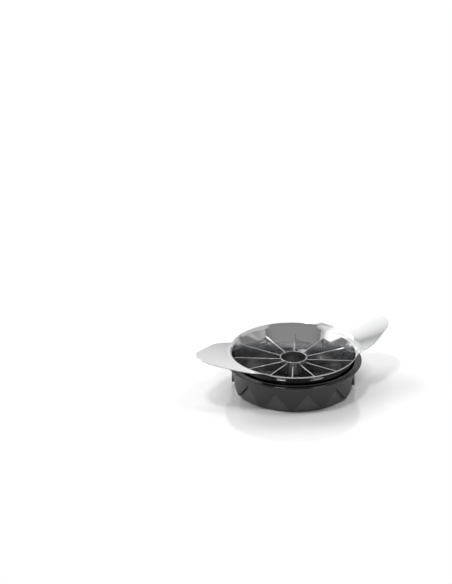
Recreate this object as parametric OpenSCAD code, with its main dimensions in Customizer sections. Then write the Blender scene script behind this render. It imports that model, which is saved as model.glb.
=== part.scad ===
// Push-down fruit divider: a pressed steel ring with two wing handles carries twelve
// radial blades round a coring tube, and sits in a moulded base with a slot for every blade.
// Millimetres, +Z up, wings along X, origin under the middle of the base.

/* [Steel ring] */
// Outer radius of the ring at its rim
rim_r = 52.1; // [48:0.1:60]
// Height of the rim's outer edge above the table
rim_z = 32; // [30:0.1:36]
// Thickness of the pressed sheet
sheet_t = 0.7; // [0.6:0.1:1.2]
// Lean of the ring wall from upright, in degrees
wall_lean = 20; // [14:0.5:21]
// Slope of the sheet at the rim, from level, in degrees
rim_slope = 50; // [40:1:60]
// Radius of the bend from wall to wing, on its lower side
bend_r = 7; // [5:0.5:9]

/* [Wings] */
// Reach of a wing tip from the middle
wing_reach = 86.8; // [82:0.1:96]
// Radius of the round wing end
wing_nose_r = 18; // [14:0.5:24]
// Radius of the broad wing root
wing_root_r = 32; // [28:0.5:34]
// Distance of the wing root's centre from the middle
wing_root_x = 45; // [40:0.5:46]
// Radius of the hollow corner between a wing and the rim
wing_corner_r = 12; // [6:0.5:20]
// Rise of a wing from level, in degrees
wing_rise = 15.5; // [8:0.5:22]

/* [Blades] */
// Thickness of a blade
blade_t = 0.7; // [0.5:0.05:1]
// Height of a blade's cutting edge above the table
blade_edge_z = 9; // [8.5:0.1:10]
// Height of a blade from its edge to its back
blade_h = 15; // [12:0.5:17]
// Height of the ground bevel on a blade
grind_h = 3; // [1:0.1:4]
// Thickness left at a ground edge
edge_t = 0.12; // [0.05:0.01:0.3]
// Height of the tab and of the tongue at a blade's ends
tab_h = 6; // [3:0.5:7]
// Play of a tab or a tongue in its slot, on each side
tab_play = 0.05; // [0.02:0.01:0.1]
// Play between a blade's shoulder and the ring wall
shoulder_play = 0.02; // [0.01:0.01:0.05]
// Distance that a tab ends inside the ring's outer face
tab_sink = 0.1; // [0.05:0.05:0.3]

/* [Coring tube] */
// Inner radius of the coring tube
tube_in_r = 10.4; // [9:0.1:12]
// Wall of the coring tube
tube_t = 0.6; // [0.4:0.1:1]
// Height of the tube's cutting edge above the table
tube_edge_z = 8.6; // [8.2:0.1:9.5]
// Height of the tube's top above the table
tube_top_z = 26; // [24.5:0.5:30]
// Height of the ground bevel on the tube
tube_grind_h = 2; // [1:0.1:3]

/* [Base] */
// Height of the base at its lip
base_h = 25.4; // [24:0.1:28]
// Wall of the base behind the recessed triangles
base_t = 1.6; // [1.2:0.1:2]
// Height where the base wall starts to lean out along the ring
lean_z = 16.9; // [15:0.1:18]
// Gap between the ring and the leaning base wall, measured level
ring_gap = 0.57; // [0.3:0.01:1.2]
// Radius of the bend from the leaning wall to the lip, on its upper side
flare_r = 3.5; // [2.5:0.1:4.5]
// Width of the lip past the bend
lip_w = 2.6; // [1.5:0.1:4]
// Droop of the lip towards its edge, in degrees
lip_droop = 8; // [0:1:12]
// Thickness of the lip
lip_t = 1.6; // [1.2:0.1:2]
// Distance that the teeth stand out from the wall
tooth_depth = 2.4; // [1.2:0.1:2.6]
// Height of the recessed triangles' peaks
peak_z = 15.5; // [12:0.1:18]
// Height of the teeth's lower tips
tip_z = 1.8; // [1:0.1:3]
// Width of a tooth at its lower tip, where it meets the wall
tip_w = 1; // [0.5:0.1:2]

/* [Pads] */
// Height of the seat that carries the steel ring
seat_z = 8; // [7.8:0.1:8.4]
// Depth of the blade slots' floor below the seat
slot_drop = 0.5; // [0.2:0.1:1]
// Thickness of the floor and of the pads' walls
floor_t = 1.8; // [1.2:0.1:2.2]
// Height of the pads' tops above the table
pad_z = 14; // [12:0.1:16]
// Width of a blade slot between two pads
slot_w = 3; // [2:0.1:3.4]
// Gap between the pads and the ring wall
pad_gap = 0.7; // [0.4:0.05:1.2]
// Gap between the pads and the coring tube, inside and out
tube_gap = 0.8; // [0.4:0.05:1.2]

/* [Hidden] */
$fn = 96;
blade_n = 12;
pitch = 360 / blade_n;
cut = 0.5;

// Start and end of the bend on the sheet's lower side, and the middle of the bend
wall_rise = 90 - wall_lean;
bend_start_r = rim_r - bend_r * (sin(wall_rise) - sin(rim_slope));
bend_start_z = rim_z - bend_r * (cos(rim_slope) - cos(wall_rise));
bend_mid_r = bend_start_r + bend_r * sin(wall_rise);
bend_mid_z = bend_start_z - bend_r * cos(wall_rise);
bend_steps = 18;
far_r = wing_reach + cut;

// Ring wall: outer and inner radius at a height, with the sheet measured level
sheet_level_t = sheet_t / cos(wall_lean);
function ring_out_r(z) = bend_start_r - (bend_start_z - z) * tan(wall_lean);
function ring_in_r(z) = ring_out_r(z) - sheet_level_t;

// Wing outline: lines that touch the round root and the round end, and a corner circle that
// touches the root and the rim from outside
nose_mid = wing_reach - wing_nose_r;
side_turn = acos((wing_root_r - wing_nose_r) / (nose_mid - wing_root_x));
corner_rim_r = rim_r + wing_corner_r;
corner_root_r = wing_root_r + wing_corner_r;
corner_x = (pow(corner_rim_r, 2) - pow(corner_root_r, 2) + pow(wing_root_x, 2)) / (2 * wing_root_x);
corner_y = sqrt(pow(corner_rim_r, 2) - pow(corner_x, 2));
// Set-back of the lines and corners from a true touch, so that they cross the circles cleanly
touch_set = 0.05;

// Blades and coring tube
blade_top_z = blade_edge_z + blade_h;
tab_mid_z = (blade_edge_z + grind_h + blade_top_z) / 2;
tab_low_z = tab_mid_z - tab_h / 2;
tab_high_z = tab_mid_z + tab_h / 2;
tube_out_r = tube_in_r + tube_t;

// Base: an upright wall that leans out along the ring, then bends over to the lip
base_in_r = ring_out_r(lean_z) + ring_gap;
base_r = base_in_r + base_t;
tooth_r = base_r + tooth_depth;
flare_z = base_h - flare_r;
flare_start_z = flare_z + flare_r * cos(wall_rise);
flare_mid_r = ring_out_r(flare_start_z) + ring_gap + flare_r * sin(wall_rise);
lip_r = flare_mid_r + lip_w * cos(lip_droop) + (flare_r - lip_t / 2) * sin(lip_droop) + lip_t / 2;

// Floor and pads
slot_floor_z = seat_z - slot_drop;
floor_z = slot_floor_z - floor_t;
pad_out_r = ring_in_r(seat_z) - pad_gap;
pad_in_r = tube_out_r + tube_gap;
boss_r = tube_in_r - tube_gap;

// A point at a radius and a turn
function polar(r, turn) = [r * cos(turn), r * sin(turn)];

// Points of an arc round a middle, from one turn to another
function arc(mid, r, from, to) = [for (i = [0:bend_steps]) mid + polar(r, from + (to - from) * i / bend_steps)];

// One face of the pressed sheet in section, from the seat up the wall, round the bend and along the wing.
// The face at t lies that much further in and up than the sheet's lower side.
function sheet_face(t) = let (
    bend = arc([bend_mid_r, bend_mid_z], bend_r + t, 90 + wall_rise, 90 + wing_rise),
    wall_end = bend[0],
    wing_start = bend[bend_steps],
    low_r = wall_end.x - (wall_end.y - seat_z) * tan(wall_lean),
    far_z = wing_start.y + (far_r - wing_start.x) * tan(wing_rise)
) concat([[low_r, seat_z]], bend, [[far_r, far_z]]);

// The pressed sheet in section: wall, bend and wing in one thickness
module sheet_section() {
    upper = sheet_face(sheet_t);
    polygon(concat(sheet_face(0), [for (i = [len(upper) - 1:-1:0]) upper[i]]));
}

// The trimmed sheet from above: the rim's circle with a round-ended wing on each side
module frame_outline() {
    circle(r = rim_r);
    for (side = [0, 180]) rotate(side) {
        root_touch = [wing_root_x, 0] + polar(wing_root_r - touch_set, side_turn);
        nose_touch = [nose_mid, 0] + polar(wing_nose_r - touch_set, side_turn);
        translate([wing_root_x, 0]) circle(r = wing_root_r);
        translate([nose_mid, 0]) circle(r = wing_nose_r);
        polygon([
            [wing_root_x, 0], [root_touch.x, -root_touch.y], [nose_touch.x, -nose_touch.y],
            nose_touch, root_touch]);
        difference() {
            polygon([[0, 0], [corner_x, -corner_y], [wing_root_x, 0], [corner_x, corner_y]]);
            for (flip = [-1, 1]) translate([corner_x, flip * corner_y]) circle(r = wing_corner_r + touch_set);
        }
    }
}

// Slots for the blades' ends, through whatever lies between two radii
module blade_slots(from_r, to_r) {
    slot_t = blade_t + 2 * tab_play;
    for (i = [1:blade_n]) rotate(i * pitch)
        translate([from_r, -slot_t / 2, tab_low_z - tab_play])
            cube([to_r - from_r, slot_t, tab_h + 2 * tab_play]);
}

module cutter_frame() {
    color("silver") difference() {
        intersection() {
            rotate_extrude() sheet_section();
            linear_extrude(2 * rim_z + wing_reach) frame_outline();
        }
        blade_slots(ring_in_r(tab_low_z) - sheet_t, rim_r);
    }
}

module coring_tube() {
    color("gainsboro") difference() {
        rotate_extrude() polygon([
            [tube_in_r, tube_edge_z], [tube_in_r + edge_t, tube_edge_z],
            [tube_out_r, tube_edge_z + tube_grind_h], [tube_out_r, tube_top_z], [tube_in_r, tube_top_z]]);
        blade_slots(tube_in_r - cut, tube_out_r + cut);
    }
}

// A blade from the side: a tongue into the tube, and a tab into the slanting ring wall
module blade_side() {
    polygon([
        [tube_out_r, blade_edge_z],
        [ring_in_r(blade_edge_z) - shoulder_play, blade_edge_z],
        [ring_in_r(tab_low_z) - shoulder_play, tab_low_z],
        [ring_out_r(tab_low_z) - tab_sink, tab_low_z],
        [ring_out_r(tab_high_z) - tab_sink, tab_high_z],
        [ring_in_r(tab_high_z) - shoulder_play, tab_high_z],
        [ring_in_r(blade_top_z) - shoulder_play, blade_top_z],
        [tube_out_r, blade_top_z],
        [tube_out_r, tab_high_z], [tube_in_r + tab_sink, tab_high_z],
        [tube_in_r + tab_sink, tab_low_z], [tube_out_r, tab_low_z]]);
}

// A blade end on: flat sides, ground from both sides to a thin lower edge
module blade_section() {
    polygon([
        [-blade_t / 2, blade_top_z], [-blade_t / 2, blade_edge_z + grind_h], [-edge_t / 2, blade_edge_z],
        [edge_t / 2, blade_edge_z], [blade_t / 2, blade_edge_z + grind_h], [blade_t / 2, blade_top_z]]);
}

module blade(i) {
    color("lightgray") rotate((i - 1) * pitch) intersection() {
        translate([0, blade_t, 0]) rotate([90, 0, 0]) linear_extrude(2 * blade_t) blade_side();
        rotate([90, 0, 90]) linear_extrude(rim_r) blade_section();
    }
}

// The base wall in section: upright, then leaning along the ring and bent over to a lip that
// droops a little to its round edge, with the band of the teeth outside
module base_section() {
    flare_mid = [flare_mid_r, flare_z];
    lip_mid = flare_mid + polar(lip_w, -lip_droop) + polar(flare_r - lip_t / 2, 90 - lip_droop);
    under_r = flare_r - lip_t;
    ledge = flare_mid_r - under_r - tooth_r;
    under_turn = ledge > 0 ? 180 : acos((tooth_r - flare_mid_r) / under_r);
    polygon(concat(
        [[base_in_r, 0], [tooth_r, 0]],
        ledge > 0 ? [[tooth_r, flare_z]] : [],
        arc(flare_mid, under_r, under_turn, 90 - lip_droop),
        arc(lip_mid, lip_t / 2, -90 - lip_droop, 90 - lip_droop),
        arc(flare_mid, flare_r, 90 - lip_droop, 90 + wall_rise),
        [[base_in_r, lean_z]]));
    translate([0, floor_z]) square([base_in_r + base_t / 2, floor_t]);
    translate([pad_out_r, floor_z]) square([base_r - base_t / 2 - pad_out_r, seat_z - floor_z]);
}

// Sectors between two radii, kept apart by gaps of one width
module sectors(in_r, out_r, gap) {
    difference() {
        circle(r = out_r);
        circle(r = in_r);
        for (i = [1:blade_n]) rotate(i * pitch) translate([0, -gap / 2]) square([out_r + cut, gap]);
    }
}

// Gaps between the teeth, no deeper than the wall behind them: a row of triangles that point up,
// joined below the teeth's tips
module tooth_gaps() {
    half_w = base_r * tan(pitch / 2) - tip_w / 2;
    foot_w = lip_r * tan(pitch / 2) + cut;
    intersection() {
        union() for (i = [1:blade_n]) rotate((i - 0.5) * pitch) rotate([90, 0, 90]) linear_extrude(lip_r) {
            polygon([[-half_w, tip_z], [half_w, tip_z], [0, peak_z]]);
            translate([-foot_w, -cut]) square([2 * foot_w, tip_z + cut]);
        }
        translate([0, 0, -cut]) difference() {
            cylinder(r = lip_r, h = base_h);
            translate([0, 0, -cut]) cylinder(r = base_r, h = base_h + 2 * cut);
        }
    }
}

module base() {
    pad_top_t = pad_z - floor_t;
    color("#232325") difference() {
        union() {
            rotate_extrude() base_section();
            translate([0, 0, floor_z]) linear_extrude(pad_z - floor_z) sectors(pad_in_r, pad_out_r, slot_w);
            translate([0, 0, floor_z]) cylinder(r = boss_r, h = pad_z - floor_z);
        }
        tooth_gaps();
        translate([0, 0, floor_z - cut]) linear_extrude(pad_top_t - floor_z + cut)
            sectors(pad_in_r + floor_t, pad_out_r - floor_t, slot_w + 2 * floor_t);
        translate([0, 0, floor_z - cut]) cylinder(r = boss_r - floor_t, h = pad_top_t - floor_z + cut);
    }
}

base();
cutter_frame();
coring_tube();
for (i = [1:blade_n]) blade(i);
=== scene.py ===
import math

import bmesh
import bpy
from mathutils import Matrix, Vector


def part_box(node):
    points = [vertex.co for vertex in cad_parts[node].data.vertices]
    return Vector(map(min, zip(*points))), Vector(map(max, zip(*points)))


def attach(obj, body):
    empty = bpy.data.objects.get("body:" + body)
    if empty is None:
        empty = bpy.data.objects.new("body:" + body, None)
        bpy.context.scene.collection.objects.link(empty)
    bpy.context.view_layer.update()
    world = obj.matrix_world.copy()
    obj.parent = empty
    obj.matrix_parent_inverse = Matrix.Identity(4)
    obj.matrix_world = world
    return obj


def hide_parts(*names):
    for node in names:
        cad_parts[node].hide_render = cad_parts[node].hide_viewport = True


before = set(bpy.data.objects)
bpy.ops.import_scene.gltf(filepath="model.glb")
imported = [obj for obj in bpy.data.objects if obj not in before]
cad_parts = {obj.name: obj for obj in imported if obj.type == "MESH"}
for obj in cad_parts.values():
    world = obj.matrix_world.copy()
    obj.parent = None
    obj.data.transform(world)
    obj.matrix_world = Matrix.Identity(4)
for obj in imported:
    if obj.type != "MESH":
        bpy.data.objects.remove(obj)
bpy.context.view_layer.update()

# Base: one black plastic moulding that stands on the table.
# Its wall leans out to a glossy lip that droops to a round edge, and its matte outside carries a row
# of teeth that point down between recessed triangles. Inside are pads with a slot for every blade.
mm = 0.001
blade_count = 12
pitch = 2 * math.pi / blade_count
base_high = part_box("base")[1]
base_h = base_high[2]
lip_r = min(base_high[0], base_high[1])
lip_t = 1.6 * mm
lip_w = 2.6 * mm
droop = 8
lip_tilt = math.radians(droop)
wall_rise = math.radians(70)
lean_z = 16.9 * mm
flare_r = 3.5 * mm
flare_z = base_h - flare_r
flare_mid_r = lip_r - lip_t / 2 - lip_w * math.cos(lip_tilt) - (flare_r - lip_t / 2) * math.sin(lip_tilt)
flare_start_z = flare_z + flare_r * math.cos(wall_rise)
flare_start_r = flare_mid_r - flare_r * math.sin(wall_rise)
base_in_r = flare_start_r - (flare_start_z - lean_z) / math.tan(wall_rise)
base_wall_t = 1.6 * mm
base_r = base_in_r + base_wall_t
tooth_depth = 2.4 * mm
tooth_r = base_r + tooth_depth
tip_z = 1.8 * mm
peak_z = 15.5 * mm
tip_w = 1.0 * mm
least_half_w = 0.3 * mm
tooth_round = 0.16 * mm
edge_round = 0.3 * mm
round_inset = 0.3  # how far a rounding's middle lies inside the sharp corner, as a share of its radius
gap_steps = 8
tooth_steps = 8
wall_rows = 14


def point(r, turn, z):
    return (r * math.cos(turn), r * math.sin(turn), z)


def steps(start, end, count):
    return [start + (end - start) * i / count for i in range(count + 1)]


def tooth_wall(z, gap_r, half_w, out_r):
    """One level of the outer wall over a pitch: the gap in the middle, half a tooth on each side."""
    inset = tooth_round * round_inset
    half = [(gap_r, y) for y in steps(0, half_w - tooth_round / 2, gap_steps)]
    half.append((gap_r + tooth_round / 2, half_w))
    half.append((out_r - tooth_round, half_w))
    half.append((out_r - inset, half_w + inset))
    turns = [(r, math.asin(y / r)) for r, y in half]
    start = math.asin((half_w + tooth_round) / out_r)
    turns += [(out_r, min(turn, pitch / 2)) for turn in steps(start, pitch / 2, tooth_steps)]
    both = [(r, -turn) for r, turn in reversed(turns[1:])] + turns
    return [point(r, turn, z) for r, turn in both]


def gap_half_width(z):
    """Half the width of the recessed triangle between two teeth at a height."""
    full = base_r * math.tan(pitch / 2) - tip_w / 2
    return max(full * (peak_z - z) / (peak_z - tip_z), least_half_w)


columns = len(tooth_wall(peak_z, base_r, tip_w, tooth_r)) - 1


def lathe_row(r, z):
    return [point(r, turn, z) for turn in steps(-pitch / 2, pitch / 2, columns)]


def mixed_row(row_a, row_b, share):
    """A level of the wall whose points slide from one spacing to another along its circle."""
    out = []
    for a, b in zip(row_a, row_b):
        r = math.hypot(b[0], b[1])
        turn_a = math.atan2(a[1], a[0])
        turn_b = math.atan2(b[1], b[0])
        out.append(point(r, turn_a + (turn_b - turn_a) * share, b[2]))
    return out


def arc_rows(mid_r, mid_z, r, start, end, count):
    """Rows round a bend of the wall, between two angles in degrees."""
    turns = [math.radians(turn) for turn in steps(start, end, count)]
    return [lathe_row(mid_r + r * math.cos(turn), mid_z + r * math.sin(turn)) for turn in turns]


class Sector:
    """Points and faces of one pitch of a piece, or of all of it, with a mark on each face that takes
    the second finish, such as the base's glossy inside or a sheet's edges."""

    def __init__(self):
        self.points = []
        self.faces = []
        self.inner = []

    def add_rows(self, rows, inner=False, closed=False):
        first = len(self.points)
        width = len(rows[0])
        for row in rows:
            self.points.extend(row)
        for i in range(len(rows) - 1):
            for j in range(width if closed else width - 1):
                k = (j + 1) % width
                low = first + i * width
                self.faces.append((low + j, low + k, low + width + k, low + width + j))
                self.inner.append(inner)

    def add_cap(self, loop):
        first = len(self.points)
        self.points.extend(loop)
        self.faces.append(tuple(range(first, first + len(loop))))
        self.inner.append(False)


# Underside edge and outer wall, up to the lip
base_sector = Sector()
floor_z = 5.7 * mm
foot_inset = edge_round * round_inset
foot_rows = [
    lathe_row(base_in_r, floor_z),
    lathe_row(base_in_r, edge_round),
    lathe_row(base_in_r + foot_inset, foot_inset),
    lathe_row(base_in_r + edge_round, 0),
    lathe_row(base_r - edge_round, 0),
    lathe_row(base_r - foot_inset, foot_inset),
    lathe_row(base_r, edge_round)]
tip_half = gap_half_width(tip_z)
outer_rows = []
# Levels below the tips, and how far each has taken up the spacing of the teeth
for z, taken_up in ((0.7 * mm, 0.35), (1.1 * mm, 0.7)):
    toothed = tooth_wall(z, base_r, tip_half, base_r)
    outer_rows.append(mixed_row(lathe_row(base_r, z), toothed, taken_up))
outer_rows.append(tooth_wall(tip_z - tooth_round, base_r, tip_half, base_r))
outer_rows.append(tooth_wall(tip_z, base_r, tip_half, tooth_r - tooth_round))
for z in steps(tip_z + tooth_round, peak_z - tooth_round, wall_rows):
    outer_rows.append(tooth_wall(z, base_r, gap_half_width(z), tooth_r))
peak_half = gap_half_width(peak_z)
outer_rows.append(tooth_wall(peak_z, tooth_r, peak_half, tooth_r))
under_r = flare_r - lip_t
wall_top_z = flare_z + math.sqrt(under_r ** 2 - (flare_mid_r - tooth_r) ** 2)
first_evened = 0.2
evening_steps = 5
for evened in steps(first_evened, 1, evening_steps):
    z = peak_z + (wall_top_z - edge_round - peak_z) * evened
    toothed = tooth_wall(z, tooth_r, peak_half, tooth_r)
    outer_rows.append(mixed_row(toothed, lathe_row(tooth_r, z), evened))
under_start = math.degrees(math.acos((tooth_r - flare_mid_r + edge_round) / under_r))
under_steps = 6
lip_edge_steps = 16
lip_under_shares = (0.1, 0.5, 0.95)


def lip_spot(along, up):
    """Radius and height of a spot on the drooping lip, measured from the middle of its bend."""
    return (flare_mid_r + along * math.cos(lip_tilt) + up * math.sin(lip_tilt),
            flare_z - along * math.sin(lip_tilt) + up * math.cos(lip_tilt))


lip_under_rows = arc_rows(flare_mid_r, flare_z, under_r, under_start, 90 - droop, under_steps)
lip_under_rows += [lathe_row(*lip_spot(lip_w * along, under_r)) for along in lip_under_shares]
lip_edge_r, lip_edge_z = lip_spot(lip_w, flare_r - lip_t / 2)
lip_edge_rows = arc_rows(lip_edge_r, lip_edge_z, lip_t / 2, -90 - droop, 90 - droop, lip_edge_steps)
base_sector.add_rows(foot_rows + outer_rows + lip_under_rows + lip_edge_rows[:1])

# Glossy inside: the lip's edge and top, the bend, the inner wall and the seat for the steel ring
lip_top_shares = (0.96, 0.5, 0.04)
flare_steps = 18
wall_mid_z = 22 * mm
lean_ease = 0.4 * mm
wall_low_z = 12 * mm
seat_z = 8.0 * mm
seat_round = 1.0 * mm
seat_round_steps = 5
seat_mid_r = 44 * mm
seat_in_r = 41.44 * mm
seat_edge = 0.2 * mm
slot_floor_z = 7.5 * mm
inner_rows = lip_edge_rows + [lathe_row(*lip_spot(lip_w * along, flare_r)) for along in lip_top_shares]
flare_end = 90 + math.degrees(wall_rise)
inner_rows += arc_rows(flare_mid_r, flare_z, flare_r, 90 - droop, flare_end, flare_steps)
for z in (wall_mid_z, lean_z + lean_ease):
    inner_rows.append(lathe_row(base_in_r + (z - lean_z) / math.tan(wall_rise), z))
inner_rows += [lathe_row(base_in_r, lean_z - lean_ease), lathe_row(base_in_r, wall_low_z)]
for turn in steps(0, math.pi / 2, seat_round_steps):
    seat_inset = seat_round * (1 - math.cos(turn))
    inner_rows.append(lathe_row(base_in_r - seat_inset, seat_z + seat_round * (1 - math.sin(turn))))
inner_rows += [
    lathe_row(seat_mid_r, seat_z),
    lathe_row(seat_in_r + seat_edge, seat_z),
    lathe_row(seat_in_r, seat_z - seat_edge),
    lathe_row(seat_in_r, slot_floor_z)]
base_sector.add_rows(inner_rows, inner=True)

# Pads: each is a rounded sector between two slots, hollow from below
pad_gap = 0.15 * mm
pad_in_r = 11.8 * mm
pad_out_r = seat_in_r - pad_gap
slot_half_w = 1.5 * mm
pad_z = 14.0 * mm
pad_round = 0.7 * mm
pad_corner = 1.0 * mm
pocket_corner = 0.4 * mm
corner_limit = 0.4  # the most that a rounded corner takes of half a sector's inner end
boss_r = 9.6 * mm
wall_t = 1.8 * mm
side_steps = 10
hub_steps = 6


def sector_loop(in_r, out_r, gap, corner, z):
    """Outline of a sector kept a gap away from the slots' middle lines, with its corners rounded."""
    out_turn = pitch / 2 - math.asin(gap / out_r)
    in_turn = pitch / 2 - math.asin(gap / in_r)
    out_corner = Vector(point(out_r, out_turn, z))
    in_corner = Vector(point(in_r, in_turn, z))
    side = (out_corner - in_corner).normalized()
    out_end = out_turn - corner / out_r
    in_end = in_turn - min(corner / in_r, in_turn * corner_limit)
    outer_arc = [Vector(point(out_r, turn, z)) for turn in steps(-out_end, out_end, columns)]
    inner_arc = [Vector(point(in_r, turn, z)) for turn in steps(in_end, -in_end, hub_steps)]
    side_low = in_corner + side * corner
    side_high = out_corner - side * corner
    right = [side_high + (side_low - side_high) * i / side_steps for i in range(side_steps + 1)]
    left = [Vector((p.x, -p.y, p.z)) for p in reversed(right)]

    def eased(a, tip, b):
        """Middle of the curve that rounds a corner."""
        return a * 0.25 + tip * 0.5 + b * 0.25

    out_left = Vector((out_corner.x, -out_corner.y, z))
    in_left = Vector((in_corner.x, -in_corner.y, z))
    loop = outer_arc + [eased(outer_arc[-1], out_corner, right[0])] + right
    loop += [eased(right[-1], in_corner, inner_arc[0])] + inner_arc
    loop += [eased(inner_arc[-1], in_left, left[0])] + left
    loop += [eased(left[-1], out_left, outer_arc[0])]
    return [tuple(p) for p in loop]


def pad_loop(inset, z):
    return sector_loop(pad_in_r + inset, pad_out_r - inset, slot_half_w + inset, pad_corner, z)


# Rounding along the top of the pads and the boss: how far in, and how high
top_round = []
round_start = 20
round_steps = 4
for turn in steps(round_start, 90, round_steps):
    ease = math.radians(turn)
    top_round.append((pad_round * (1 - math.cos(ease)), pad_z - pad_round * (1 - math.sin(ease))))
pad_rows = [
    sector_loop(boss_r, seat_in_r, 0, 0, slot_floor_z),
    pad_loop(0, slot_floor_z),
    pad_loop(0, pad_z - pad_round)]
pad_rows += [pad_loop(inset, z) for inset, z in top_round]
base_sector.add_rows(pad_rows, closed=True)
base_sector.add_cap(pad_rows[-1])
pocket_z = pad_z - wall_t


def pocket_loop(z):
    return sector_loop(pad_in_r + wall_t, seat_in_r - wall_t, slot_half_w + wall_t, pocket_corner, z)


boss_in_r = boss_r - wall_t
under_rows = [
    sector_loop(boss_in_r, base_in_r, 0, 0, floor_z),
    pocket_loop(floor_z),
    pocket_loop(pocket_z)]
base_sector.add_rows(under_rows, closed=True)
base_sector.add_cap(under_rows[-1])


def hub_row(r, z):
    return [point(r, turn, z) for turn in steps(-pitch / 2, pitch / 2, hub_steps)]


boss_rows = [hub_row(boss_r, slot_floor_z), hub_row(boss_r, pad_z - pad_round)]
boss_rows += [hub_row(boss_r - inset, z) for inset, z in top_round]
boss_rows += [hub_row(boss_r / 2, pad_z), hub_row(0, pad_z)]
base_sector.add_rows(boss_rows)
base_sector.add_rows([hub_row(boss_in_r, floor_z), hub_row(boss_in_r, pocket_z), hub_row(0, pocket_z)])


def add_node(tree, kind, operation=None, **values):
    """A node with its operation, and with some of its sockets set by name."""
    node = tree.nodes.new(kind)
    if operation:
        node.operation = operation
    for name, value in values.items():
        node.inputs[name.replace("_", " ")].default_value = value
    return node


def ring_of_copies():
    """Geometry node tree that sets copies of one piece round the upright axis and joins them."""
    tree = bpy.data.node_groups.new("copies round the axis", "GeometryNodeTree")
    for name, kind in (("Piece", "Geometry"), ("Copies", "Int"), ("First Turn", "Float"), ("Weld", "Float"),
                       ("Finish", "Material"), ("Inner Finish", "Material")):
        tree.interface.new_socket(name, in_out="INPUT", socket_type="NodeSocket" + kind)
    tree.interface.new_socket("Ring", in_out="OUTPUT", socket_type="NodeSocketGeometry")
    given = tree.nodes.new("NodeGroupInput")
    result = tree.nodes.new("NodeGroupOutput")
    spots = tree.nodes.new("GeometryNodePoints")
    index = tree.nodes.new("GeometryNodeInputIndex")
    whole_turns = add_node(tree, "ShaderNodeMath", "MULTIPLY")
    whole_turns.inputs[1].default_value = 2 * math.pi
    turn = add_node(tree, "ShaderNodeMath", "DIVIDE")
    from_first = add_node(tree, "ShaderNodeMath", "ADD")
    spin = tree.nodes.new("ShaderNodeCombineXYZ")
    copies = tree.nodes.new("GeometryNodeInstanceOnPoints")
    solid = tree.nodes.new("GeometryNodeRealizeInstances")
    weld = tree.nodes.new("GeometryNodeMergeByDistance")
    inner = tree.nodes.new("GeometryNodeInputNamedAttribute")
    inner.data_type = "BOOLEAN"
    inner.inputs["Name"].default_value = "inner"
    outer_finish = tree.nodes.new("GeometryNodeSetMaterial")
    inner_finish = tree.nodes.new("GeometryNodeSetMaterial")
    link = tree.links.new
    link(given.outputs["Copies"], spots.inputs["Count"])
    link(index.outputs[0], whole_turns.inputs[0])
    link(whole_turns.outputs[0], turn.inputs[0])
    link(given.outputs["Copies"], turn.inputs[1])
    link(turn.outputs[0], from_first.inputs[0])
    link(given.outputs["First Turn"], from_first.inputs[1])
    link(from_first.outputs[0], spin.inputs["Z"])
    link(spots.outputs[0], copies.inputs["Points"])
    link(given.outputs["Piece"], copies.inputs["Instance"])
    link(spin.outputs[0], copies.inputs["Rotation"])
    link(copies.outputs[0], solid.inputs[0])
    link(solid.outputs[0], weld.inputs["Geometry"])
    link(given.outputs["Weld"], weld.inputs["Distance"])
    link(weld.outputs[0], outer_finish.inputs["Geometry"])
    link(given.outputs["Finish"], outer_finish.inputs["Material"])
    link(outer_finish.outputs[0], inner_finish.inputs["Geometry"])
    link(inner.outputs[0], inner_finish.inputs["Selection"])
    link(given.outputs["Inner Finish"], inner_finish.inputs["Material"])
    link(inner_finish.outputs[0], result.inputs[0])
    return tree


ring_tree = ring_of_copies()
weld_gap = 0.002 * mm
sliver = 0.001 * mm


def clean_mesh(mesh, crease):
    """Joins doubled points, drops loose ones, turns every face outwards and shades it smooth."""
    work = bmesh.new()
    work.from_mesh(mesh)
    bmesh.ops.remove_doubles(work, verts=work.verts, dist=weld_gap)
    bmesh.ops.dissolve_degenerate(work, edges=work.edges, dist=sliver)
    bmesh.ops.delete(work, geom=[v for v in work.verts if not v.link_faces], context="VERTS")
    bmesh.ops.recalc_face_normals(work, faces=work.faces)
    work.to_mesh(mesh)
    work.free()
    mesh.shade_smooth()
    mesh.set_sharp_from_angle(angle=math.radians(crease))


def ring_piece(name, piece, outer_finish, inner_finish, crease, first_turn=0.0):
    """An object made of one pitch, copied round the axis by the node tree and kept as a plain mesh."""
    mesh = bpy.data.meshes.new(name)
    mesh.from_pydata(piece.points, [], piece.faces)
    marks = mesh.attributes.new("inner", "BOOLEAN", "FACE")
    marks.data.foreach_set("value", piece.inner)
    obj = bpy.data.objects.new(name, mesh)
    bpy.context.scene.collection.objects.link(obj)
    ring = obj.modifiers.new("ring", "NODES")
    ring.node_group = ring_tree
    values = {"Copies": blade_count, "First Turn": first_turn, "Weld": weld_gap, "Finish": outer_finish,
              "Inner Finish": inner_finish}
    for item in ring_tree.interface.items_tree:
        if item.name in values:
            ring[item.identifier] = values[item.name]
    evaluated = obj.evaluated_get(bpy.context.evaluated_depsgraph_get())
    obj.data = bpy.data.meshes.new_from_object(evaluated)
    obj.modifiers.remove(ring)
    clean_mesh(obj.data, crease)
    return obj


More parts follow.
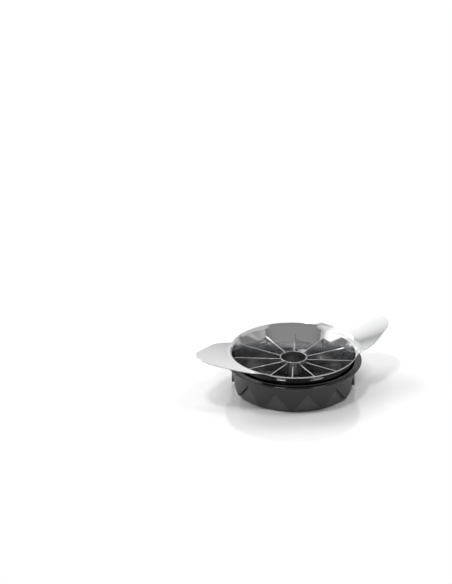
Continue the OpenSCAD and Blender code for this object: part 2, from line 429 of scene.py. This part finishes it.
def cloud_group():
    """Soft patches and fine grain on a surface, each from 0 to 1, that every finish here is varied by."""
    tree = bpy.data.node_groups.new("patches and grain", "ShaderNodeTree")
    for name, kind, value in (("Patch Scale", "Float", 40.0), ("Grain Scale", "Float", 2000.0),
                              ("Stretch", "Vector", (1, 1, 1))):
        socket = tree.interface.new_socket(name, in_out="INPUT", socket_type="NodeSocket" + kind)
        socket.default_value = value
    for name in ("Patches", "Grain"):
        tree.interface.new_socket(name, in_out="OUTPUT", socket_type="NodeSocketFloat")
    given = tree.nodes.new("NodeGroupInput")
    result = tree.nodes.new("NodeGroupOutput")
    place = tree.nodes.new("ShaderNodeTexCoord")
    stretched = add_node(tree, "ShaderNodeVectorMath", "MULTIPLY")
    patches = add_node(tree, "ShaderNodeTexNoise", Detail=3.0, Roughness=0.55)
    grain = add_node(tree, "ShaderNodeTexNoise", Detail=4.0, Roughness=0.65)
    link = tree.links.new
    link(place.outputs["Object"], stretched.inputs[0])
    link(given.outputs["Stretch"], stretched.inputs[1])
    link(place.outputs["Object"], patches.inputs["Vector"])
    link(stretched.outputs[0], grain.inputs["Vector"])
    link(given.outputs["Patch Scale"], patches.inputs["Scale"])
    link(given.outputs["Grain Scale"], grain.inputs["Scale"])
    link(patches.outputs["Fac"], result.inputs["Patches"])
    link(grain.outputs["Fac"], result.inputs["Grain"])
    return tree


clouds = cloud_group()


def tone_mix(tree):
    """A node that mixes two colours."""
    node = tree.nodes.new("ShaderNodeMix")
    node.data_type = "RGBA"
    return node


def finish(name, dark, light, rough, patch_scale, grain_scale, stretch, bump, **shader_values):
    """A procedural finish: colour between two tones by patches, roughness by patches and grain, and a
    fine bump of a strength and a depth."""
    material = bpy.data.materials.new(name)
    material.use_nodes = True
    tree = material.node_tree
    shader = tree.nodes["Principled BSDF"]
    for socket, value in shader_values.items():
        shader.inputs[socket.replace("_", " ")].default_value = value
    cloud = tree.nodes.new("ShaderNodeGroup")
    cloud.node_tree = clouds
    cloud.inputs["Patch Scale"].default_value = patch_scale
    cloud.inputs["Grain Scale"].default_value = grain_scale
    cloud.inputs["Stretch"].default_value = stretch
    tone = tone_mix(tree)
    tone.inputs["A"].default_value = (*dark, 1)
    tone.inputs["B"].default_value = (*light, 1)
    both = add_node(tree, "ShaderNodeMath", "ADD")
    dullness = add_node(tree, "ShaderNodeMapRange", From_Min=0.6, From_Max=1.4, To_Min=rough[0],
                        To_Max=rough[1])
    relief = add_node(tree, "ShaderNodeBump", Strength=bump[0], Distance=bump[1])
    link = tree.links.new
    link(cloud.outputs["Patches"], tone.inputs["Factor"])
    link(tone.outputs["Result"], shader.inputs["Base Color"])
    link(cloud.outputs["Patches"], both.inputs[0])
    link(cloud.outputs["Grain"], both.inputs[1])
    link(both.outputs[0], dullness.inputs["Value"])
    link(dullness.outputs[0], shader.inputs["Roughness"])
    link(cloud.outputs["Grain"], relief.inputs["Height"])
    link(relief.outputs[0], shader.inputs["Normal"])
    return material


matte_black = finish("matte black moulding", dark=(0.004, 0.004, 0.0042), light=(0.007, 0.007, 0.0073),
                     rough=(0.36, 0.50), patch_scale=60, grain_scale=1600, stretch=(1, 1, 1),
                     bump=(0.3, 0.05 * mm), Specular_IOR_Level=0.65)
gloss_black = finish("glossy black moulding", dark=(0.002, 0.002, 0.0021), light=(0.004, 0.004, 0.0042),
                     rough=(0.02, 0.05), patch_scale=45, grain_scale=400, stretch=(1, 1, 1),
                     bump=(0.02, 0.05 * mm), Specular_IOR_Level=0.5)

# Painted sheen: the recesses behind the teeth get a lighter grey colour, which stands in for a soft sheen
# of light on them
painted_sheen_grey = (0.06, 0.06, 0.0605, 1)
sheen_mask_reach = 0.9 * mm
matte_tree = matte_black.node_tree
matte_shader = matte_tree.nodes["Principled BSDF"]
matte_place = matte_tree.nodes.new("ShaderNodeTexCoord")
level_place = add_node(matte_tree, "ShaderNodeVectorMath", "MULTIPLY")
level_place.inputs[1].default_value = (1, 1, 0)
off_axis = add_node(matte_tree, "ShaderNodeVectorMath", "LENGTH")
recessed = add_node(matte_tree, "ShaderNodeMath", "COMPARE")
recessed.inputs[1].default_value = base_r
recessed.inputs[2].default_value = sheen_mask_reach
# painted sheen: faces at the recesses' radius take the lighter grey in place of the moulding's own tone
painted_sheen_tone = tone_mix(matte_tree)
painted_sheen_tone.inputs["B"].default_value = painted_sheen_grey
plain_patch_tone = matte_shader.inputs["Base Color"].links[0].from_socket
matte_link = matte_tree.links.new
matte_link(matte_place.outputs["Object"], level_place.inputs[0])
matte_link(level_place.outputs[0], off_axis.inputs[0])
matte_link(off_axis.outputs["Value"], recessed.inputs[0])
matte_link(recessed.outputs[0], painted_sheen_tone.inputs["Factor"])
matte_link(plain_patch_tone, painted_sheen_tone.inputs["A"])
matte_link(painted_sheen_tone.outputs["Result"], matte_shader.inputs["Base Color"])
base_crease = 38
base = ring_piece("base_moulding", base_sector, matte_black, gloss_black, base_crease, pitch / 2)
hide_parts("base")
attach(base, "base")

# Coring tube: a short thin steel tube in the middle, ground to an edge below.
# Twelve slots in its wall take the blades' tongues.
tube_low, tube_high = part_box("coring_tube")
tube_t = 0.6 * mm
tube_edge_t = 0.12 * mm
tube_out_r = max(tube_high[0], tube_high[1])
tube_in_r = tube_out_r - tube_t
tube_edge_r = tube_in_r + tube_edge_t
tube_grind_h = 2.0 * mm
tab_low_z = 15.0 * mm
tab_high_z = 21.0 * mm
tab_play = 0.05 * mm
blade_t = 0.7 * mm
slot_half = blade_t / 2 + tab_play


def thick_grid(face_a, face_b, kept, around=False, open_sides=False):
    """A sheet between two grids of points: both faces of the cells that are kept, and walls along
    every edge and hole. It may run all the way round, or stay open where copies will meet it."""
    piece = Sector()
    rows = len(face_a)
    width = len(face_a[0])
    for grid in (face_a, face_b):
        for row in grid:
            piece.points.extend(row)
    cells = width if around else width - 1

    def number(side, i, j):
        return side * rows * width + i * width + j % width

    def is_kept(i, j):
        if around:
            j = j % cells
        return 0 <= i < rows - 1 and 0 <= j < cells and kept(i, j)

    for i in range(rows - 1):
        for j in range(cells):
            if not is_kept(i, j):
                continue
            corners = ((i, j), (i, j + 1), (i + 1, j + 1), (i + 1, j))
            piece.faces.append(tuple(number(0, a, b) for a, b in corners))
            piece.faces.append(tuple(number(1, a, b) for a, b in reversed(corners)))
            walls = []
            if not is_kept(i - 1, j):
                walls.append(((i, j), (i, j + 1)))
            if not is_kept(i + 1, j):
                walls.append(((i + 1, j), (i + 1, j + 1)))
            if not is_kept(i, j - 1) and not (open_sides and j == 0):
                walls.append(((i, j), (i + 1, j)))
            if not is_kept(i, j + 1) and not (open_sides and j == cells - 1):
                walls.append(((i, j + 1), (i + 1, j + 1)))
            piece.inner += [False, False] + [True] * len(walls)
            for a, b in walls:
                piece.faces.append((number(0, *a), number(0, *b), number(1, *b), number(1, *a)))
    return piece


tube_levels = [
    (tube_low[2], tube_edge_r),
    (tube_low[2] + tube_grind_h, tube_out_r),
    (tab_low_z - tab_play, tube_out_r),
    (tab_high_z + tab_play, tube_out_r),
    (tube_high[2], tube_out_r)]
tube_steps = 5
slot_turn = slot_half / tube_out_r
tube_turns = steps(-pitch / 2, -slot_turn, tube_steps) + steps(slot_turn, pitch / 2, tube_steps)
tube_outside = [[point(r, turn, z) for turn in tube_turns] for z, r in tube_levels]
tube_inside = [[point(tube_in_r, turn, z) for turn in tube_turns] for z, _ in tube_levels]
slot_row = 2
tube_sector = thick_grid(tube_outside, tube_inside, lambda i, j: (i, j) != (slot_row, tube_steps),
                         open_sides=True)
strip_steel = finish("ground strip steel", dark=(0.50, 0.505, 0.515), light=(0.60, 0.605, 0.61),
                     rough=(0.16, 0.30), patch_scale=55, grain_scale=900, stretch=(1, 1, 6),
                     bump=(0.05, 0.02 * mm), Metallic=1.0)


def soften_edges(obj, width, angle):
    """A small rounding along every sharp edge, and flat faces that stay flat in the shading."""
    bevel = obj.modifiers.new("edge rounding", "BEVEL")
    bevel.width = width
    bevel.segments = 2
    bevel.limit_method = "ANGLE"
    bevel.angle_limit = math.radians(angle)
    bevel.use_clamp_overlap = True
    joined = obj.modifiers.new("joined points", "WELD")
    joined.merge_threshold = sliver
    normals = obj.modifiers.new("flat faces", "WEIGHTED_NORMAL")
    normals.keep_sharp = True


tube_crease = 30
tube = ring_piece("coring_tube_steel", tube_sector, strip_steel, strip_steel, tube_crease)
soften_edges(tube, width=0.06 * mm, angle=40)
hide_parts("coring_tube")
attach(tube, "cutter")

# Blades: flat strips of thin steel that stand like spokes between the tube and the ring.
# Each is ground from both sides to its lower edge, and has a tongue at one end and a tab at the other.
blade_low, blade_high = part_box("blade_1")
blade_edge_z = blade_low[2]
blade_top_z = blade_high[2]
grind_h = 3.0 * mm
ground_t = 0.12 * mm
frame_low, frame_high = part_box("cutter_frame")
rim_r = max(frame_high[1], -frame_low[1])
rim_z = 32.0 * mm
sheet_t = 0.7 * mm
bend_r = 7.0 * mm
rim_slope = math.radians(50)
bend_start_r = rim_r - bend_r * (math.sin(wall_rise) - math.sin(rim_slope))
bend_start_z = rim_z - bend_r * (math.cos(rim_slope) - math.cos(wall_rise))


def ring_wall_r(z, depth):
    """Radius of the leaning ring wall at a height: its outer face, or deeper into the sheet."""
    return bend_start_r - (bend_start_z - z) / math.tan(wall_rise) - depth / math.sin(wall_rise)


tongue_r = blade_low[0]
shoulder_play = 0.02 * mm
tab_sink = 0.1 * mm
blade_levels = [
    (blade_edge_z, ground_t / 2),
    (blade_edge_z + grind_h, blade_t / 2),
    (tab_low_z, blade_t / 2),
    (tab_high_z, blade_t / 2),
    (blade_top_z, blade_t / 2)]


def blade_row(z, y):
    shoulder_r = ring_wall_r(z, sheet_t) - shoulder_play
    tab_r = ring_wall_r(z, 0) - tab_sink
    return [(x, y, z) for x in (tongue_r, tube_out_r, shoulder_r, tab_r)]


tab_row = 2
body_column = 1
blade_piece = thick_grid([blade_row(z, half) for z, half in blade_levels],
                         [blade_row(z, -half) for z, half in blade_levels],
                         lambda i, j: j == body_column or i == tab_row)
blade_crease = 25
blades = ring_piece("blade_set", blade_piece, strip_steel, strip_steel, blade_crease)
soften_edges(blades, width=0.05 * mm, angle=60)
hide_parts(*["blade_%d" % (i + 1) for i in range(blade_count)])
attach(blades, "cutter")

# Cutter frame: one pressed stainless sheet. Its leaning ring wall bends over into two round-ended
# wings that the hands press on, and twelve slots low in the wall hold the blades' tabs.
wing_reach = frame_high[0]
wing_rise = math.radians(15.5)
wing_nose_r = 18.0 * mm
wing_root_r = 32.0 * mm
wing_root_x = 45.0 * mm
wing_corner_r = 12.0 * mm
nose_mid = wing_reach - wing_nose_r
side_turn = math.acos((wing_root_r - wing_nose_r) / (nose_mid - wing_root_x))
corner_far = rim_r + wing_corner_r
corner_x = (corner_far ** 2 - (wing_root_r + wing_corner_r) ** 2 + wing_root_x ** 2) / (2 * wing_root_x)
corner_y = math.sqrt(corner_far ** 2 - corner_x ** 2)
corner_turn = math.atan2(corner_y, corner_x)
corner_share = wing_root_r / (wing_root_r + wing_corner_r)
nose_end = math.atan2(wing_nose_r * math.sin(side_turn), nose_mid + wing_nose_r * math.cos(side_turn))
side_end = math.atan2(wing_root_r * math.sin(side_turn), wing_root_x + wing_root_r * math.cos(side_turn))
root_end = math.atan2(corner_y * corner_share, wing_root_x + (corner_x - wing_root_x) * corner_share)
bend_mid_r = bend_start_r + bend_r * math.sin(wall_rise)
bend_mid_z = bend_start_z - bend_r * math.cos(wall_rise)
foot_top_z = 8.6 * mm
below_slots_z = 11.5 * mm
above_slots_z = 25 * mm
wall_heights = [frame_low[2], foot_top_z, below_slots_z, tab_low_z - tab_play, tab_high_z + tab_play,
                above_slots_z, bend_start_z]
slot_level = 3
flange_rows = 30
turns_per_pitch = 32


def circle_reach(mid, r, off, far_side):
    """How far off the axis a circle lies, in a direction at an angle from the one to its middle."""
    depth = math.sqrt(max(r ** 2 - (mid * math.sin(off)) ** 2, 0))
    return mid * math.cos(off) + (depth if far_side else -depth)


def trim_r(turn):
    """How far the trimmed sheet reaches in a direction: round wing end, straight side, broad root,
    hollow corner or rim circle."""
    off = abs(math.remainder(turn, math.pi))
    if off <= nose_end:
        return circle_reach(nose_mid, wing_nose_r, off, True)
    if off <= side_end:
        return (wing_root_r + wing_root_x * math.cos(side_turn)) / math.cos(side_turn - off)
    if off <= root_end:
        return circle_reach(wing_root_x, wing_root_r, off, True)
    if off <= corner_turn:
        return circle_reach(corner_far, wing_corner_r, off - corner_turn, False)
    return rim_r


def sheet_z(r, depth):
    """Height of the sheet's face past the start of the bend: round the bend, then along the wing."""
    round_r = bend_r + depth
    wing_r = bend_mid_r - round_r * math.sin(wing_rise)
    if r < wing_r:
        return bend_mid_z + math.sqrt(max(round_r ** 2 - (bend_mid_r - r) ** 2, 0))
    return bend_mid_z + round_r * math.cos(wing_rise) + (r - wing_r) * math.tan(wing_rise)


frame_turns = []
tab_turn = slot_half / ring_wall_r((tab_low_z + tab_high_z) / 2, sheet_t / 2)
for i in range(blade_count):
    frame_turns += steps(i * pitch - tab_turn, i * pitch + tab_turn, 1)
    frame_turns += steps(i * pitch + tab_turn, (i + 1) * pitch - tab_turn, turns_per_pitch)[1:-1]
columns_per_pitch = len(frame_turns) // blade_count


def sheet_face(depth):
    """Points of one face of the sheet: up the ring wall, then out to the trim line."""
    rows = [[point(ring_wall_r(z, depth), turn, z) for turn in frame_turns] for z in wall_heights]
    start_r = bend_mid_r - (bend_r + depth) * math.sin(wall_rise)
    for i in range(1, flange_rows + 1):
        share = (i / flange_rows) ** 2
        reach = [start_r + (trim_r(turn) - start_r) * share for turn in frame_turns]
        rows.append([point(r, turn, sheet_z(r, depth)) for r, turn in zip(reach, frame_turns)])
    return rows


frame_sheet = thick_grid(sheet_face(0), sheet_face(sheet_t),
                         lambda i, j: not (i == slot_level and j % columns_per_pitch == 0), around=True)
satin_steel = finish("satin pressed steel", dark=(0.76, 0.763, 0.77), light=(0.82, 0.822, 0.825),
                     rough=(0.05, 0.10), patch_scale=26, grain_scale=700, stretch=(0.12, 1, 1),
                     bump=(0.03, 0.02 * mm), Metallic=1.0)
sheared_edge = finish("sheared steel edge", dark=(0.38, 0.383, 0.39), light=(0.48, 0.482, 0.485),
                      rough=(0.26, 0.38), patch_scale=90, grain_scale=1500, stretch=(1, 1, 1),
                      bump=(0.05, 0.02 * mm), Metallic=1.0)
frame_mesh = bpy.data.meshes.new("cutter_frame_sheet")
frame_mesh.from_pydata(frame_sheet.points, [], frame_sheet.faces)
frame_mesh.materials.append(satin_steel)
frame_mesh.materials.append(sheared_edge)
frame_mesh.polygons.foreach_set("material_index", [int(edge) for edge in frame_sheet.inner])
sheet_crease = 40
clean_mesh(frame_mesh, sheet_crease)
wing_frame = bpy.data.objects.new("cutter_frame_sheet", frame_mesh)
bpy.context.scene.collection.objects.link(wing_frame)
soften_edges(wing_frame, width=0.22 * mm, angle=45)
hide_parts("cutter_frame")
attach(wing_frame, "cutter")

# Stage: a pale, slightly shiny table top that keeps the soft shadow round the base.
# Further out it runs into plain white.
floor_half = 6.0
table_tone = 0.83
shadow_end = 0.10
white_start = 0.13
floor_corners = [(x * floor_half, y * floor_half, 0) for x, y in ((-1, -1), (1, -1), (1, 1), (-1, 1))]
floor_mesh = bpy.data.meshes.new("table_top")
floor_mesh.from_pydata(floor_corners, [], [(0, 1, 2, 3)])
floor = bpy.data.objects.new("table_top", floor_mesh)
bpy.context.scene.collection.objects.link(floor)
table_white = bpy.data.materials.new("white table top")
table_white.use_nodes = True
table_tree = table_white.node_tree
table_shader = table_tree.nodes["Principled BSDF"]
table_shader.inputs["Base Color"].default_value = (table_tone, table_tone, table_tone, 1)
table_shader.inputs["Roughness"].default_value = 0.10
table_shader.inputs["IOR"].default_value = 2.0
table_out = table_tree.nodes["Material Output"]
seen = table_tree.nodes.new("ShaderNodeLightPath")
white = add_node(table_tree, "ShaderNodeEmission", Strength=1.0)
table_place = table_tree.nodes.new("ShaderNodeTexCoord")
away = add_node(table_tree, "ShaderNodeVectorMath", "LENGTH")
fade = add_node(table_tree, "ShaderNodeMapRange", From_Min=shadow_end, From_Max=white_start)
fade.interpolation_type = "SMOOTHSTEP"
mirrored = add_node(table_tree, "ShaderNodeMath", "MAXIMUM")
visible = add_node(table_tree, "ShaderNodeMath", "MAXIMUM")
white_share = add_node(table_tree, "ShaderNodeMath", "MULTIPLY")
table_mix = table_tree.nodes.new("ShaderNodeMixShader")
table_link = table_tree.links.new
table_link(table_place.outputs["Object"], away.inputs[0])
table_link(away.outputs["Value"], fade.inputs["Value"])
table_link(seen.outputs["Is Camera Ray"], visible.inputs[0])
table_link(seen.outputs["Is Glossy Ray"], mirrored.inputs[0])
table_link(seen.outputs["Is Transmission Ray"], mirrored.inputs[1])
table_link(mirrored.outputs[0], visible.inputs[1])
table_link(visible.outputs[0], white_share.inputs[0])
table_link(fade.outputs[0], white_share.inputs[1])
table_link(white_share.outputs[0], table_mix.inputs["Fac"])
table_link(table_shader.outputs[0], table_mix.inputs[1])
table_link(white.outputs[0], table_mix.inputs[2])
table_link(table_mix.outputs[0], table_out.inputs["Surface"])
floor_mesh.materials.append(table_white)

# Light and camera: two lamps behind, two small ones above the front that draw the lights on the lip,
# and two large low ones at the sides. The room is pale behind, with one grey band that the wings mirror,
# and dim in front. A long lens looks down at the photograph's angle.
scene = bpy.context.scene
scene.view_settings.view_transform = "Standard"


def soft_lamp(name, place, size, power):
    """A round lamp that faces the middle of the table."""
    data = bpy.data.lights.new(name, "AREA")
    data.shape = "DISK"
    data.size = size
    data.energy = power
    lamp = bpy.data.objects.new(name, data)
    lamp.location = place
    lamp.rotation_euler = (-Vector(place)).to_track_quat("-Z", "Y").to_euler()
    scene.collection.objects.link(lamp)


soft_lamp("back_left_lamp", place=(-0.40, 1.08, 1.04), size=0.8, power=9.0)
soft_lamp("back_lamp", place=(0.45, 0.78, 1.07), size=0.5, power=3.2)
soft_lamp("left_lamp", place=(-0.42, -0.17, 1.23), size=0.24, power=5.4)
soft_lamp("low_left_lamp", place=(-1.15, 0.45, 0.62), size=1.7, power=2.3)
soft_lamp("low_right_lamp", place=(1.05, -0.75, 0.62), size=1.6, power=1.9)
soft_lamp("right_lamp", place=(0.40, -0.31, 1.19), size=0.32, power=3.8)

# Tones of the room's walls: a height and the light there. On the back wall the height is a share of the
# wall's distance, over a sloping line, and to the right its grey band is paler and runs on upwards.
# In front it is the sine of the angle above level.
back_wall = ((0.13, 0.97), (0.33, 0.90), (0.49, 0.84), (0.555, 0.66), (0.614, 0.44), (0.655, 0.72),
             (0.695, 0.88), (0.76, 1.05), (0.88, 1.23), (1.03, 1.32), (1.4, 1.1), (1.8, 0.9), (2.5, 0.6))
right_wall = ((0.13, 0.94), (0.33, 0.88), (0.49, 0.81), (0.60, 0.73), (0.72, 0.66), (1.03, 0.62),
              (1.8, 0.6))
front_wall = ((0.0, 0.02), (0.13, 0.03), (0.22, 0.30), (0.5, 0.28), (0.75, 0.28))
room_height = 3.0
room_peak = 1.35
band_slope = 0.134
least_behind = 0.02
right_start = 0.45
right_end = 0.75
front_end = -0.15
back_start = 0.1
room = bpy.data.worlds.new("pale room")
scene.world = room
room.use_nodes = True
room_tree = room.node_tree
room_light = room_tree.nodes["Background"]
room_light.inputs["Strength"].default_value = room_peak


def wall_tones(levels, top):
    """A ramp from heights up to a top to the light there, as a share of the room's peak."""
    ramp = room_tree.nodes.new("ShaderNodeValToRGB")
    tones = ramp.color_ramp.elements
    while len(tones) < len(levels):
        tones.new(1.0)
    for tone, (level, light) in zip(tones, levels):
        tone.position = level / top
        tone.color = (light / room_peak, light / room_peak, light / room_peak, 1)
    return ramp


direction = room_tree.nodes.new("ShaderNodeTexCoord")
parts = room_tree.nodes.new("ShaderNodeSeparateXYZ")
behind = add_node(room_tree, "ShaderNodeMath", "MAXIMUM")
behind.inputs[1].default_value = least_behind
tilted = add_node(room_tree, "ShaderNodeMath", "MULTIPLY_ADD")
tilted.inputs[1].default_value = band_slope
height = add_node(room_tree, "ShaderNodeMath", "DIVIDE")
sideways = add_node(room_tree, "ShaderNodeMath", "DIVIDE")
height_share = add_node(room_tree, "ShaderNodeMapRange", From_Min=0.0, From_Max=room_height)
to_right = add_node(room_tree, "ShaderNodeMapRange", From_Min=right_start, From_Max=right_end)
to_back = add_node(room_tree, "ShaderNodeMapRange", From_Min=front_end, From_Max=back_start)
to_back.interpolation_type = "SMOOTHSTEP"
back_tones = wall_tones(back_wall, room_height)
right_tones = wall_tones(right_wall, room_height)
front_tones = wall_tones(front_wall, 1.0)
whole_back = tone_mix(room_tree)
whole_room = tone_mix(room_tree)
room_link = room_tree.links.new
room_link(direction.outputs["Generated"], parts.inputs[0])
room_link(parts.outputs["Y"], behind.inputs[0])
room_link(parts.outputs["X"], tilted.inputs[0])
room_link(parts.outputs["Z"], tilted.inputs[2])
room_link(tilted.outputs[0], height.inputs[0])
room_link(behind.outputs[0], height.inputs[1])
room_link(height.outputs[0], height_share.inputs["Value"])
room_link(height_share.outputs[0], back_tones.inputs["Fac"])
room_link(height_share.outputs[0], right_tones.inputs["Fac"])
room_link(parts.outputs["X"], sideways.inputs[0])
room_link(behind.outputs[0], sideways.inputs[1])
room_link(sideways.outputs[0], to_right.inputs["Value"])
room_link(to_right.outputs[0], whole_back.inputs["Factor"])
room_link(back_tones.outputs["Color"], whole_back.inputs["A"])
room_link(right_tones.outputs["Color"], whole_back.inputs["B"])
room_link(parts.outputs["Z"], front_tones.inputs["Fac"])
room_link(parts.outputs["Y"], to_back.inputs["Value"])
room_link(to_back.outputs[0], whole_room.inputs["Factor"])
room_link(front_tones.outputs["Color"], whole_room.inputs["A"])
room_link(whole_back.outputs["Result"], whole_room.inputs["B"])
room_link(whole_room.outputs["Result"], room_light.inputs["Color"])

# Camera: its place and line of sight before a small turn round the upright axis
camera_place = Vector((-0.7152, -1.23805, 0.71814))
camera_sight = Vector((0.4262, 0.8086, -0.4056))
camera_turn = Matrix.Rotation(math.radians(1.3), 3, "Z")
camera_data = bpy.data.cameras.new("camera")
camera_data.sensor_fit = "VERTICAL"
camera_data.sensor_height = 36.0
camera_data.lens = 119.13
camera = bpy.data.objects.new("camera", camera_data)
camera.location = camera_turn @ camera_place
camera.rotation_euler = (camera_turn @ camera_sight).to_track_quat("-Z", "Y").to_euler()
scene.collection.objects.link(camera)
scene.camera = camera
